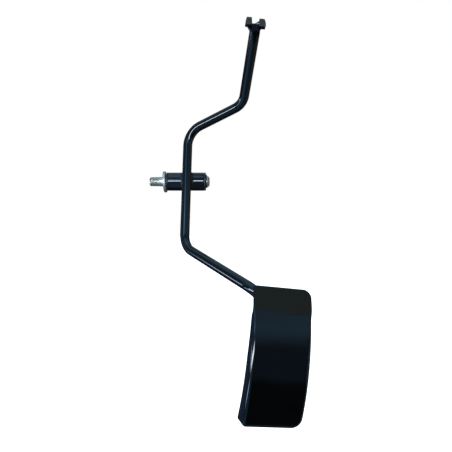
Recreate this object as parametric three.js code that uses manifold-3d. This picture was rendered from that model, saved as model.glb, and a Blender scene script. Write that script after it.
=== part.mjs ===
// A hanging accelerator pedal: a bent round rod that rocks on a pivot pin, with a cable
// fork at its upper end and a curved sheet-steel foot pad at its lower end.
//
// Millimetres and degrees. +X runs along the pivot pin, away from the vehicle's bracket,
// +Y points forward in the vehicle and +Z up. The origin is on the pivot axis, on the face
// of the washer that bears on the bracket.
import * as THREE from 'three';
import { mergeVertices } from 'three/addons/utils/BufferGeometryUtils.js';
import Module from 'manifold-3d';

const wasm = await Module();
wasm.setup();

// Clearances
const MERGE_DISTANCE = 1e-4; // between points that are one and the same
const GAP = 0.2; // between faces that stand against each other
const WELD_GAP = 0.3; // between a weld bead and what it joins

// Pivot pin: an M10 stud, a 12 mm shank, a circlip groove and a chamfered end
const STUD_LENGTH = 15;
const STUD_RADIUS = 5;
const THREAD_LENGTH = 11;
const THREAD_PITCH = 1.5;
const THREAD_DEPTH = 0.9;
const SHANK_RADIUS = 6;
const GROOVE_DEPTH = 0.5;
const PIN_CHAMFER = 1.7;
const PIN_END = 48.2;

// What is stacked on the pin, from the bracket outwards
const WASHER_THICKNESS = 2.8;
const WASHER_RADIUS = 11.2;
const WASHER_HOLE_RADIUS = 5.3;
const FLANGE_THICKNESS = 1.5;
const FLANGE_RADIUS = 9.6;
const BUSH_BORE_RADIUS = 6.25;
const BUSH_SLEEVE_RADIUS = 7.3;
const BUSH_SLEEVE_LENGTH = 12;
const TUBE_LENGTH = 37.8;
const TUBE_RADIUS = 9.65;
const TUBE_BORE_RADIUS = 7.5;
const CIRCLIP_THICKNESS = 1;
const CIRCLIP_RADIUS = 7.4;
const CIRCLIP_OPENING = 50; // degrees

// Lever rod: 9.5 mm bar that crosses in front of the pivot tube and leans forward there
const ROD_RADIUS = 4.75;
const BEND_RADIUS = 20;
const CROSSING_X = 25;
const CROSSING_LEAN = 0.17; // forward travel for each millimetre of height
const UPPER_BEND = new THREE.Vector3(82.4, -35, 72.9);
const PIVOT_BEND_X = 26;
const PIVOT_BEND_Z = 51.6;
const LOWER_BEND_X = 23.8;
const LOWER_BEND_Z = -67.9;
const ROD_TOP = new THREE.Vector3(91.4, -87.5, 126);

// Cable fork: an upright slotted plate with two ears that stand out towards the driver.
// Its outlines are drawn from the driver's side, as [across, up] from FORK_BASE.
const FORK_BASE = new THREE.Vector3(90.5, -85.7, 123.2);
const FORK_ROLL = 5.5;
const FORK_YAW = 3;
const FORK_HEIGHT = 9;
const FORK_PLATE = 3;
const PLATE_LEFT_SIDE = [[-6.5, 4.2], [-4.3, 0.9], [-3.6, 0]];
const PLATE_RIGHT_SIDE = [[5, 0], [5.3, 2.5], [6.5, 3.7]];
const LEFT_EAR = [[-2.7, 2.9], [-3.7, 9.3], [-8.1, 9.1], [-8.7, 6], [-8.7, 2.9]];
const RIGHT_EAR = [[3.1, 2.6], [9.3, 2.5], [8.7, 6.2], [7.5, 8.9], [2.9, 8.9]];
const EAR_REACH = 6.2;
const EAR_ROOT = 0.4; // how far the ears run into the plate
const NOTCH_RADIUS = 4.6; // of the cable's notch in the plate
const NOTCH_BOTTOM = 6.8;
const NOTCH_OFFSET = -1.6; // across, from the middle of the plate
const THROAT = [-3.1, 4.3]; // left and right end of the hollow in the plate's face
const THROAT_TOP = 6.5;
const THROAT_LEAN = 18; // the hollow runs deeper towards the foot

// Upper end of the rod, under the fork
const ROD_FLAT_REACH = 2.3; // from the plate's face to the flat in front
const ROD_NICK_TURN = 25; // the ground nick faces the driver's right
const ROD_NICK_TILT = 28; // and down
const ROD_NICK_DISTANCE = 2.44; // from FORK_BASE

// Foot pad: a curved plate with side and bottom skirts folded back
const PAD_CENTRE = new THREE.Vector3(109.7, -121, -153.4);
const PAD_YAW = 11;
const PAD_ROLL = 6.7;
const PAD_PITCH = -7.2;
const PAD_WIDTH = 48.6;
const PAD_LENGTH = 116; // along the curved face
const PAD_CURVE_RADIUS = 150;
const PAD_SHEET = 2;
const PAD_TOP_CORNER = 7;
const PAD_BOTTOM_LEFT_CORNER = 3.6;
const PAD_BOTTOM_RIGHT_CORNER = 8.5;
const PAD_ROD_CORNER = [-24.6, 57.8]; // across and along the pad, where the rod turns in
const PAD_ROD_LIFT = 0.3; // extra room behind the pad at that corner
const PAD_ROD_END = [12, 29];
const PAD_BEAD_START = [-14, 49];
const SKIRT_TOP = 40.5; // height above the middle of the pad
const SKIRT_SHOULDER = 33;
const SKIRT_SHOULDER_DEPTH = 6.4; // straight behind the face
const SKIRT_MIDDLE_DEPTH = 13;
const SKIRT_BOTTOM_DEPTH = 18.2;

// Weld beads
const TUBE_BEAD_RADIUS = 1.9;
const TUBE_BEAD_SWEEP = 62; // degrees each way round the tube from the rod's line
const PAD_BEAD_RADIUS = 1.5;
const PAD_BEAD_OFFSET = 4.6; // from the rod's centreline, in the plane of the pad
const FORK_BEAD_RADIUS = 2.4;
const FORK_BEAD_INSET = 1; // from each side of the plate's foot

// Facets
const ROUND_SEGMENTS = 32;
const ROD_HALF_SEGMENTS = 8;
const BEND_STEPS = 7;
const BEAD_HALF_SEGMENTS = 5;
const BEAD_STEPS = 14;
const PAD_STEPS = 16; // along the curved face
const PAD_END_STEPS = 3; // along its plain upper end
const PAD_CORNER_STEPS = 6;
const NOTCH_HALF_SEGMENTS = 8;

const radians = THREE.MathUtils.degToRad;

// ---- Solids ----

// Turns a shape drawn in (y, z) and extruded along its own z so that it runs along +X.
const alongX = new THREE.Matrix4().makeBasis(
  new THREE.Vector3(0, 1, 0),
  new THREE.Vector3(0, 0, 1),
  new THREE.Vector3(1, 0, 0),
);

// A closed three.js geometry as a manifold-3d solid.
function solidOf(geometry) {
  const bare = geometry.clone();
  bare.deleteAttribute('normal');
  bare.deleteAttribute('uv');
  const merged = mergeVertices(bare, MERGE_DISTANCE);
  const corners = [];
  const index = merged.index.array;
  for (let i = 0; i < index.length; i += 3) {
    const [a, b, c] = [index[i], index[i + 1], index[i + 2]];
    if (a !== b && b !== c && c !== a) corners.push(a, b, c);
  }
  return new wasm.Manifold(
    new wasm.Mesh({
      numProp: 3,
      vertProperties: merged.attributes.position.array,
      triVerts: new Uint32Array(corners),
    }),
  );
}

// A manifold-3d solid as a three.js geometry.
function geometryOf(solid) {
  const mesh = solid.getMesh();
  const geometry = new THREE.BufferGeometry();
  geometry.setAttribute('position', new THREE.BufferAttribute(mesh.vertProperties, 3));
  geometry.setIndex(new THREE.BufferAttribute(mesh.triVerts, 1));
  geometry.computeVertexNormals();
  return geometry;
}

// A solid of revolution about +X from a profile of [position along X, radius] points.
function turned(profile, segments = ROUND_SEGMENTS) {
  const points = profile.map(([along, radius]) => new THREE.Vector2(radius, along));
  const geometry = new THREE.LatheGeometry(points, segments);
  return geometry.rotateZ(-Math.PI / 2);
}

// A block from its lowest to its highest corner.
function block(low, high) {
  const size = high.map((value, axis) => value - low[axis]);
  const middle = high.map((value, axis) => (value + low[axis]) / 2);
  return new THREE.BoxGeometry(...size).translate(...middle);
}

// Straight legs between corners, joined by round bends, as a curve for ExtrudeGeometry.
// It has stations only where the direction changes, so that long legs stay one facet long.
class BentLine extends THREE.Curve {
  constructor(corners, bendRadius, bendSteps) {
    super();
    this.stations = [];
    for (let i = 0; i < corners.length; i++) {
      const arrive = corners[i].clone().sub(corners[Math.max(i - 1, 0)]).normalize();
      const leave = corners[Math.min(i + 1, corners.length - 1)].clone().sub(corners[i]).normalize();
      if (i === 0) this.stations.push({ point: corners[i], tangent: leave });
      else if (i === corners.length - 1) this.stations.push({ point: corners[i], tangent: arrive });
      else this.addBend(corners[i], arrive, leave, bendRadius, bendSteps);
    }
  }

  addBend(corner, arrive, leave, radius, steps) {
    const turn = arrive.angleTo(leave);
    const start = corner.clone().addScaledVector(arrive, -radius * Math.tan(turn / 2));
    const inward = leave.clone().addScaledVector(arrive, -Math.cos(turn)).normalize();
    for (let step = 0; step <= steps; step++) {
      const angle = (turn * step) / steps;
      const point = start.clone()
        .addScaledVector(arrive, radius * Math.sin(angle))
        .addScaledVector(inward, radius * (1 - Math.cos(angle)));
      const tangent = arrive.clone()
        .multiplyScalar(Math.cos(angle))
        .addScaledVector(inward, Math.sin(angle));
      this.stations.push({ point, tangent });
    }
  }

  get steps() {
    return this.stations.length - 1;
  }

  getSpacedPoints() {
    return this.stations.map((station) => station.point.clone());
  }

  getTangentAt(u, target = new THREE.Vector3()) {
    return target.copy(this.stations[Math.round(u * this.steps)].tangent);
  }
}

// A round bar along a bent line.
function bar(line, radius, halfSegments = ROD_HALF_SEGMENTS) {
  const section = new THREE.Shape().absarc(0, 0, radius, 0, 2 * Math.PI);
  return new THREE.ExtrudeGeometry(section, {
    steps: line.steps,
    curveSegments: halfSegments,
    extrudePath: line,
  });
}

// ---- Pivot ----

const tubeStart = WASHER_THICKNESS + GAP + FLANGE_THICKNESS + GAP;
const tubeEnd = tubeStart + TUBE_LENGTH;
const circlipStart = tubeEnd + GAP + FLANGE_THICKNESS + GAP;

function pivotPin() {
  const grooveStart = circlipStart - GAP / 2;
  const grooveEnd = circlipStart + CIRCLIP_THICKNESS + GAP / 2;
  const profile = [[-STUD_LENGTH, 0]];
  const rootRadius = STUD_RADIUS - THREAD_DEPTH;
  const turns = Math.floor(THREAD_LENGTH / THREAD_PITCH);
  for (let turn = 0; turn < turns; turn++) {
    const root = -STUD_LENGTH + turn * THREAD_PITCH;
    profile.push([root, rootRadius], [root + THREAD_PITCH / 2, STUD_RADIUS]);
  }
  profile.push(
    [-STUD_LENGTH + turns * THREAD_PITCH, rootRadius],
    [-STUD_LENGTH + turns * THREAD_PITCH + THREAD_DEPTH, STUD_RADIUS],
    [WASHER_THICKNESS + GAP, STUD_RADIUS],
    [WASHER_THICKNESS + GAP, SHANK_RADIUS],
    [grooveStart, SHANK_RADIUS],
    [grooveStart, SHANK_RADIUS - GROOVE_DEPTH],
    [grooveEnd, SHANK_RADIUS - GROOVE_DEPTH],
    [grooveEnd, SHANK_RADIUS],
    [PIN_END - PIN_CHAMFER, SHANK_RADIUS],
    [PIN_END, SHANK_RADIUS - PIN_CHAMFER],
    [PIN_END, 0],
  );
  return turned(profile);
}

// A ring of revolution: inner and outer radius between two places along the pin.
function ring(start, end, innerRadius, outerRadius) {
  return turned([
    [start, innerRadius],
    [start, outerRadius],
    [end, outerRadius],
    [end, innerRadius],
    [start, innerRadius],
  ]);
}

// A flanged bush that points along +X, with its flange's inner face at the origin.
function flangedBush() {
  return turned([
    [-FLANGE_THICKNESS, BUSH_BORE_RADIUS],
    [-FLANGE_THICKNESS, FLANGE_RADIUS],
    [0, FLANGE_RADIUS],
    [0, BUSH_SLEEVE_RADIUS],
    [BUSH_SLEEVE_LENGTH, BUSH_SLEEVE_RADIUS],
    [BUSH_SLEEVE_LENGTH, BUSH_BORE_RADIUS],
    [-FLANGE_THICKNESS, BUSH_BORE_RADIUS],
  ]);
}

// An open retaining ring in the pin's groove, its opening turned down.
function circlip() {
  const opening = radians(CIRCLIP_OPENING);
  const start = -Math.PI / 2 + opening / 2;
  const end = start + 2 * Math.PI - opening;
  const innerRadius = SHANK_RADIUS - GROOVE_DEPTH + GAP;
  const outline = new THREE.Shape()
    .absarc(0, 0, CIRCLIP_RADIUS, start, end, false)
    .absarc(0, 0, innerRadius, end, start, true);
  const geometry = new THREE.ExtrudeGeometry(outline, {
    depth: CIRCLIP_THICKNESS,
    bevelEnabled: false,
    curveSegments: ROUND_SEGMENTS / 2,
  });
  return geometry.applyMatrix4(alongX);
}

// ---- Foot pad ----

// The pad's own frame: x across it, y up along it and z out of its face.
const padPose = new THREE.Matrix4()
  .makeRotationFromEuler(
    new THREE.Euler(radians(90 + PAD_PITCH), radians(PAD_ROLL), radians(PAD_YAW), 'YZX'),
  )
  .setPosition(PAD_CENTRE);

// A point of the pad's side view: a distance along the curved face, at a depth behind it.
function padProfile(along, depth) {
  const angle = along / PAD_CURVE_RADIUS;
  const radius = PAD_CURVE_RADIUS - depth;
  return new THREE.Vector2(
    radius * Math.sin(angle),
    radius * Math.cos(angle) - PAD_CURVE_RADIUS,
  );
}

// A point in the pedal's frame from its place across, along and behind the pad's face.
function padPoint(across, along, depth) {
  const side = padProfile(along, depth);
  return new THREE.Vector3(across, side.x, side.y).applyMatrix4(padPose);
}

// The side view's points along the face at a constant depth.
function padArc(fromAlong, toAlong, depth, steps) {
  const points = [];
  for (let step = 0; step <= steps; step++) {
    points.push(padProfile(fromAlong + ((toAlong - fromAlong) * step) / steps, depth));
  }
  return points;
}

// A point of the pad's side view at a height above its middle, straight behind the face.
function padBehind(height, depth) {
  const faceZ = Math.sqrt(PAD_CURVE_RADIUS ** 2 - height ** 2) - PAD_CURVE_RADIUS;
  return new THREE.Vector2(height, faceZ - depth);
}

// A side view extruded across the pad, to a distance each way from its middle.
function padSlab(points, halfWidth) {
  const geometry = new THREE.ExtrudeGeometry(new THREE.Shape(points), {
    depth: 2 * halfWidth,
    bevelEnabled: false,
  });
  return geometry.applyMatrix4(alongX).translate(-halfWidth, 0, 0);
}

// The pad's front view, inset from its outer edge, extruded through the pad.
function padOutline(inset, top) {
  const half = PAD_WIDTH / 2 - inset;
  const bottom = inset - top;
  const left = PAD_BOTTOM_LEFT_CORNER - inset;
  const right = PAD_BOTTOM_RIGHT_CORNER - inset;
  const upper = PAD_TOP_CORNER - inset;
  const outline = new THREE.Shape()
    .moveTo(-half, top)
    .lineTo(-half, bottom + left)
    .absarc(left - half, bottom + left, left, Math.PI, 1.5 * Math.PI)
    .absarc(half - right, bottom + right, right, 1.5 * Math.PI, 2 * Math.PI)
    .absarc(half - upper, top - upper, upper, 0, 0.5 * Math.PI);
  return new THREE.ExtrudeGeometry(outline, {
    depth: 2 * PAD_LENGTH,
    bevelEnabled: false,
    curveSegments: PAD_CORNER_STEPS,
  }).translate(0, 0, -PAD_LENGTH);
}

// The pressed sheet: its solid outside, less the hollow between the skirts.
function footPad() {
  const end = PAD_LENGTH / 2;
  const top = padProfile(end, 0).x;
  const side = [
    ...padArc(-end, end, 0, PAD_STEPS),
    ...padArc(end, SKIRT_TOP, PAD_SHEET, PAD_END_STEPS),
    padBehind(SKIRT_SHOULDER, SKIRT_SHOULDER_DEPTH),
    padBehind(SKIRT_SHOULDER / 2, (SKIRT_SHOULDER_DEPTH + SKIRT_MIDDLE_DEPTH) / 2),
    padBehind(0, SKIRT_MIDDLE_DEPTH),
    padBehind(-top / 2, (SKIRT_MIDDLE_DEPTH + SKIRT_BOTTOM_DEPTH) / 2),
    padBehind(-top, SKIRT_BOTTOM_DEPTH),
  ];
  const hollow = [
    ...padArc(-end, SKIRT_TOP, PAD_SHEET, PAD_STEPS),
    new THREE.Vector2(SKIRT_TOP, -PAD_WIDTH),
    new THREE.Vector2(-top, -PAD_WIDTH),
  ];
  const outer = solidOf(padSlab(side, PAD_WIDTH)).intersect(solidOf(padOutline(0, top)));
  const inner = solidOf(padSlab(hollow, PAD_WIDTH)).intersect(
    solidOf(padOutline(PAD_SHEET, top)),
  );
  return outer.subtract(inner);
}

// ---- Lever rod ----

const crossingY = -(TUBE_RADIUS + ROD_RADIUS + GAP);
const rodBackDepth = PAD_SHEET + ROD_RADIUS + WELD_GAP;

function crossingPoint(x, z) {
  return new THREE.Vector3(x, crossingY + CROSSING_LEAN * z, z);
}

// Where the rod turns in behind the pad's upper left corner, and where it ends there.
const padCorner = padPoint(...PAD_ROD_CORNER, rodBackDepth + PAD_ROD_LIFT);
const padRodEnd = padPoint(...PAD_ROD_END, rodBackDepth);

const rodLine = new BentLine(
  [
    ROD_TOP,
    UPPER_BEND,
    crossingPoint(PIVOT_BEND_X, PIVOT_BEND_Z),
    crossingPoint(LOWER_BEND_X, LOWER_BEND_Z),
    padCorner,
    padRodEnd,
  ],
  BEND_RADIUS,
  BEND_STEPS,
);

// The fork's own frame: x across it, y forward and z up, from the foot of its plate's
// driver-side face.
const forkPose = new THREE.Matrix4()
  .makeRotationFromEuler(new THREE.Euler(0, radians(FORK_ROLL), radians(FORK_YAW), 'YZX'))
  .setPosition(FORK_BASE);

// The rod's upper end is cut off level under the fork, milled flat towards the driver and
// ground away on its right.
function leverRod() {
  const side = 40;
  const above = block([-side, -side, -WELD_GAP], [side, side, side]);
  const inFront = block([-side, -side, -side / 2], [side, -ROD_FLAT_REACH, side]);
  const nick = block([-side, -side, -side / 2], [side, -ROD_NICK_DISTANCE, side])
    .rotateX(radians(ROD_NICK_TILT))
    .rotateZ(radians(ROD_NICK_TURN));
  return [above, inFront, nick].reduce(
    (rod, cut) => rod.subtract(solidOf(cut.applyMatrix4(forkPose))),
    solidOf(bar(rodLine, ROD_RADIUS)),
  );
}

// ---- Cable fork ----

// A front view, extruded forward from one depth to another in the fork's frame.
function forkSlice(outline, fromY, toY) {
  return new THREE.ExtrudeGeometry(outline, {
    depth: toY - fromY,
    bevelEnabled: false,
    curveSegments: NOTCH_HALF_SEGMENTS,
  })
    .rotateX(Math.PI / 2)
    .translate(0, toY, 0);
}

function cableFork() {
  const notchCentre = NOTCH_BOTTOM + NOTCH_RADIUS;
  const notchAngle = Math.asin((notchCentre - FORK_HEIGHT) / NOTCH_RADIUS);
  const plate = new THREE.Shape().moveTo(PLATE_LEFT_SIDE[0][0], FORK_HEIGHT);
  for (const corner of [...PLATE_LEFT_SIDE, ...PLATE_RIGHT_SIDE]) plate.lineTo(...corner);
  plate
    .lineTo(PLATE_RIGHT_SIDE.at(-1)[0], FORK_HEIGHT)
    .absarc(NOTCH_OFFSET, notchCentre, NOTCH_RADIUS, -notchAngle, notchAngle - Math.PI, true);
  const throat = block([THROAT[0], -EAR_REACH, -FORK_HEIGHT], [THROAT[1], 0, 0])
    .rotateX(radians(THROAT_LEAN))
    .translate(0, 0, THROAT_TOP);
  let fork = solidOf(forkSlice(plate, 0, FORK_PLATE)).subtract(solidOf(throat));
  for (const outline of [LEFT_EAR, RIGHT_EAR]) {
    const ear = new THREE.Shape(outline.map(([x, y]) => new THREE.Vector2(x, y)));
    fork = fork.add(solidOf(forkSlice(ear, -EAR_REACH, EAR_ROOT)));
  }
  return fork;
}

// ---- Weld beads ----

const rodClearance = solidOf(bar(rodLine, ROD_RADIUS + WELD_GAP));

// A round bead along a row of points, slightly rounded at each of them.
function beadAlong(points, radius) {
  const rounding = 0.5;
  return bar(new BentLine(points, rounding, 1), radius, BEAD_HALF_SEGMENTS);
}

// A bead that runs round the front of the pivot tube on one side of the rod. It is cut
// back from both, so that it touches neither.
function tubeBead(side) {
  const across = CROSSING_X + side * ROD_RADIUS;
  const spine = [];
  for (let step = 0; step <= BEAD_STEPS; step++) {
    const angle = radians(TUBE_BEAD_SWEEP) * ((2 * step) / BEAD_STEPS - 1);
    const [y, z] = [-TUBE_RADIUS * Math.cos(angle), TUBE_RADIUS * Math.sin(angle)];
    spine.push(new THREE.Vector3(across, y, z));
  }
  const bead = solidOf(beadAlong(spine, TUBE_BEAD_RADIUS));
  const tube = solidOf(turned([
    [tubeStart, 0],
    [tubeStart, TUBE_RADIUS + WELD_GAP],
    [tubeEnd, TUBE_RADIUS + WELD_GAP],
    [tubeEnd, 0],
  ]));
  return bead.subtract(tube).subtract(rodClearance);
}

// A fillet along one side of the rod's lower end, on the back of the pad.
function padBead(side) {
  const depth = PAD_SHEET + WELD_GAP + PAD_BEAD_RADIUS;
  const [fromAcross, fromAlong] = PAD_BEAD_START;
  const [toAcross, toAlong] = PAD_ROD_END;
  const length = Math.hypot(toAcross - fromAcross, toAlong - fromAlong);
  const offsetAcross = (side * PAD_BEAD_OFFSET * (fromAlong - toAlong)) / length;
  const offsetAlong = (side * PAD_BEAD_OFFSET * (toAcross - fromAcross)) / length;
  const spine = [
    padPoint(fromAcross + offsetAcross, fromAlong + offsetAlong, depth),
    padPoint(toAcross + offsetAcross, toAlong + offsetAlong, depth),
  ];
  return solidOf(beadAlong(spine, PAD_BEAD_RADIUS)).subtract(rodClearance);
}

// A fillet behind the fork's plate, on the level end of the rod.
function forkBead() {
  const back = FORK_PLATE + WELD_GAP;
  const start = PLATE_LEFT_SIDE.at(-1)[0] + FORK_BEAD_INSET;
  const end = PLATE_RIGHT_SIDE[0][0] - FORK_BEAD_INSET;
  const section = new THREE.Shape()
    .moveTo(0, 0)
    .lineTo(FORK_BEAD_RADIUS, 0)
    .absarc(0, 0, FORK_BEAD_RADIUS, 0, Math.PI / 2);
  return new THREE.ExtrudeGeometry(section, {
    depth: end - start,
    bevelEnabled: false,
    curveSegments: BEAD_HALF_SEGMENTS,
  })
    .applyMatrix4(alongX)
    .translate(start, back, 0);
}

// ---- Assembly ----

const paint = { color: 0x0b0c0e, roughness: 0.22, metalness: 0 };
const zinc = { color: 0xb9bdb4, roughness: 0.35, metalness: 1 };
const polymer = { color: 0x141414, roughness: 0.6, metalness: 0 };
const springSteel = { color: 0x1c1b1a, roughness: 0.45, metalness: 0.6 };

const group = new THREE.Group();

function addPiece(name, shape, finish) {
  const geometry = shape instanceof THREE.BufferGeometry ? shape : geometryOf(shape);
  const mesh = new THREE.Mesh(geometry, new THREE.MeshStandardMaterial(finish));
  mesh.name = name;
  group.add(mesh);
  return mesh;
}

addPiece('pivot_pin', pivotPin(), zinc);
addPiece('mount_washer', ring(0, WASHER_THICKNESS, WASHER_HOLE_RADIUS, WASHER_RADIUS), zinc);
addPiece('circlip', circlip(), springSteel).position.x = circlipStart;
addPiece('left_bush', flangedBush(), polymer).position.x = tubeStart - GAP;
const rightBush = addPiece('right_bush', flangedBush(), polymer);
rightBush.position.x = tubeEnd + GAP;
rightBush.rotation.z = Math.PI;
addPiece('pivot_tube', ring(tubeStart, tubeEnd, TUBE_BORE_RADIUS, TUBE_RADIUS), paint);
addPiece('lever_rod', leverRod(), paint);
addPiece('tube_weld_left', tubeBead(-1), paint);
addPiece('tube_weld_right', tubeBead(1), paint);
addPiece('pedal_pad', footPad(), paint).applyMatrix4(padPose);
addPiece('pad_weld_upper', padBead(1), paint);
addPiece('pad_weld_lower', padBead(-1), paint);
addPiece('cable_fork', cableFork(), paint).applyMatrix4(forkPose);
addPiece('fork_weld', forkBead(), paint).applyMatrix4(forkPose);

export default group;
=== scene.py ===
"""A hanging accelerator pedal: fine surfaces, materials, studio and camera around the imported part.

Metres and degrees, in the part's own frame: +X along the pivot pin, away from the bracket,
+Y forward in the vehicle and +Z up, with the origin on the pivot axis at the washer's face.
"""

import math

import bmesh
import bpy
from mathutils import Euler, Matrix, Vector, noise


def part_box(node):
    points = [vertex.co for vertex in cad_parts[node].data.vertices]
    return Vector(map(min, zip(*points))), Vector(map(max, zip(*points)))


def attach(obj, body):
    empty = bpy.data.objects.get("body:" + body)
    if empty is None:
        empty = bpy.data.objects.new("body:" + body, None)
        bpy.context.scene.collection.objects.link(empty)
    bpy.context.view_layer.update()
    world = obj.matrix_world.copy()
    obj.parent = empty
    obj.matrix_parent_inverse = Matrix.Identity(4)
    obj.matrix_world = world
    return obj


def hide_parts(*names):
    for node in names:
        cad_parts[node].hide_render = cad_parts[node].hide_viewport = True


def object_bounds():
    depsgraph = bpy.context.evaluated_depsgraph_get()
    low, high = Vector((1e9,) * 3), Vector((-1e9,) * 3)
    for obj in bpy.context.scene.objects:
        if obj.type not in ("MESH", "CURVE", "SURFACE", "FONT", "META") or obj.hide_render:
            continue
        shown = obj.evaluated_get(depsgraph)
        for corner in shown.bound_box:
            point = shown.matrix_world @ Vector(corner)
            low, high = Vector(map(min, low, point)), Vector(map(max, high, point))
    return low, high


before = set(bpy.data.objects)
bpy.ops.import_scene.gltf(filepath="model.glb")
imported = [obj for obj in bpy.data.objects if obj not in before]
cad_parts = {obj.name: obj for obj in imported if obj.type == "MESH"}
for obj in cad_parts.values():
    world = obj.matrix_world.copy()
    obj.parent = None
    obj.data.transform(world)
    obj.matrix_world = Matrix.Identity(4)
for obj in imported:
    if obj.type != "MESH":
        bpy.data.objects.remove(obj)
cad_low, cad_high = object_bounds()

MM = 0.001

# Pivot pin and what turns on it
STUD_RADIUS = 5 * MM
THREAD_LENGTH = 11 * MM
THREAD_PITCH = 1.5 * MM
THREAD_DEPTH = 0.6 * MM
THREAD_ROOT = 0.12  # flat root and flank as shares of half a pitch
THREAD_FLANK = 0.62
SHANK_RADIUS = 6 * MM
GROOVE_DEPTH = 0.5 * MM
PIN_CHAMFER = 1.7 * MM
WASHER_HOLE_RADIUS = 5.3 * MM
WASHER_TILT = -3
WASHER_DROP = Vector((-0.35, 0, -0.25)) * MM
BUSH_BORE_RADIUS = 6.25 * MM
BUSH_SLEEVE_RADIUS = 7.3 * MM
FLANGE_THICKNESS = 1.5 * MM
TUBE_BORE_RADIUS = 7.5 * MM
CIRCLIP_OPENING = 50
CIRCLIP_LUG = 2.6 * MM

# Lever rod
ROD_RADIUS = 4.75 * MM
BEND_RADIUS = 20 * MM
CROSSING_X = 25 * MM
CROSSING_LEAN = 0.17
CROSSING_Y = -14.6 * MM
UPPER_BEND = Vector((82.4, -35, 72.9)) * MM
PIVOT_BEND = (26 * MM, 51.6 * MM)
LOWER_BEND = (23.8 * MM, -67.9 * MM)
ROD_TOP = Vector((91.4, -87.5, 126)) * MM

# Cable fork: front views as (across, up, corner radius) in mm from FORK_BASE
FORK_BASE = Vector((90.5, -85.7, 123.2)) * MM
FORK_ROLL = 5.5
FORK_YAW = 3
FORK_HEIGHT = 9
FORK_PLATE = 3 * MM
PLATE_LEFT_SIDE = ((-6.5, 4.2, 1), (-4.3, 0.9, 0.5), (-3.6, 0, 0.2))
PLATE_RIGHT_SIDE = ((5, 0, 0.2), (5.3, 2.5, 0.6), (6.5, 3.7, 0.6))
LEFT_EAR = ((-2.7, 2.9, 0.3), (-3.7, 9.3, 0.5), (-8.1, 9.1, 0.7), (-8.7, 6, 2), (-8.7, 2.9, 0.6))
RIGHT_EAR = ((3.1, 2.6, 0.3), (9.3, 2.5, 0.7), (8.7, 6.2, 2), (7.5, 8.9, 0.7), (2.9, 8.9, 0.4))
EAR_REACH = 6.2 * MM
EAR_ROOT = 0.4 * MM
EAR_EDGE = 0.45 * MM
PLATE_EDGE = 0.35 * MM
NOTCH_RADIUS = 4.6
NOTCH_BOTTOM = 6.8
NOTCH_OFFSET = -1.6
THROAT = (-3.1 * MM, 4.3 * MM)
THROAT_TOP = 6.5 * MM
THROAT_LEAN = 18

# Upper end of the rod, under the fork: cut by three planes
ROD_CUTS_ABOVE = 90 * MM
ROD_TOP_GAP = 0.3 * MM
ROD_FLAT_REACH = 2.3 * MM
ROD_NICK_TURN = 25
ROD_NICK_TILT = 28
ROD_NICK_DISTANCE = 2.44 * MM

# Foot pad
PAD_CENTRE = Vector((109.7, -121, -153.4)) * MM
PAD_YAW = 11
PAD_ROLL = 6.7
PAD_PITCH = -7.2
PAD_LEFT = 24.8 * MM
PAD_RIGHT = 25.8 * MM
PAD_LENGTH = 116 * MM
PAD_CURVE_RADIUS = 150 * MM
PAD_SHEET = 2 * MM
PAD_TOP_LEFT_CORNER = 1.2 * MM
PAD_TOP_RIGHT_CORNER = 7 * MM
PAD_BOTTOM_LEFT_CORNER = 4.2 * MM
PAD_BOTTOM_RIGHT_CORNER = 8.5 * MM
PAD_LEFT_FOLD = 2.4 * MM
PAD_RIGHT_FOLD = 3.6 * MM
PAD_TOP_FOLD = 0.6 * MM
PAD_EDGE_RADIUS = 0.5 * MM
PAD_ROD_CORNER = (-24.6 * MM, 57.8 * MM)
PAD_ROD_END = (12 * MM, 29 * MM)
PAD_BEAD_START = (-14 * MM, 49 * MM)
PAD_ROD_GAP = 0.3 * MM
PAD_ROD_LIFT = 0.3 * MM
SKIRT_TOP = 40.5 * MM
SKIRT_SHOULDER = 33 * MM
SKIRT_SHOULDER_DEPTH = 6.4 * MM
SKIRT_MIDDLE_DEPTH = 13 * MM
SKIRT_BOTTOM_DEPTH = 18.2 * MM

# Weld beads
TUBE_BEAD_RADIUS = 1.9 * MM
TUBE_BEAD_SWEEP = 62
PAD_BEAD_RADIUS = 1.5 * MM
PAD_BEAD_OFFSET = 4.6 * MM
FORK_BEAD_RADIUS = 2.4 * MM

MERGE_DISTANCE = 1e-7
ROUND_SEGMENTS = 128
ROD_SEGMENTS = 72
BEAD_SEGMENTS = 24


# ---- Meshes ----

def new_piece(name, points, faces, smooth_angle=32):
    """A mesh object, smooth except along edges sharper than smooth_angle degrees."""
    mesh = bpy.data.meshes.new(name)
    mesh.from_pydata([tuple(point) for point in points], [], faces)
    piece = bpy.data.objects.new(name, mesh)
    bpy.context.scene.collection.objects.link(piece)
    tidy_mesh(piece, smooth_angle)
    return piece


def tidy_mesh(piece, smooth_angle=32):
    """Merges doubled points, turns every face outwards and marks the sharp edges."""
    solid = bmesh.new()
    solid.from_mesh(piece.data)
    bmesh.ops.remove_doubles(solid, verts=solid.verts, dist=MERGE_DISTANCE)
    bmesh.ops.dissolve_degenerate(solid, edges=solid.edges, dist=MERGE_DISTANCE / 10)
    bmesh.ops.recalc_face_normals(solid, faces=solid.faces)
    limit = math.radians(smooth_angle)
    for face in solid.faces:
        face.smooth = True
    for edge in solid.edges:
        edge.smooth = edge.calc_face_angle(0) < limit
    solid.to_mesh(piece.data)
    solid.free()


def apply_modifiers(piece, smooth_angle=32):
    """Turns the piece's modifiers into its mesh."""
    graph = bpy.context.evaluated_depsgraph_get()
    made = bpy.data.meshes.new_from_object(piece.evaluated_get(graph))
    piece.modifiers.clear()
    piece.data = made
    tidy_mesh(piece, smooth_angle)


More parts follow.
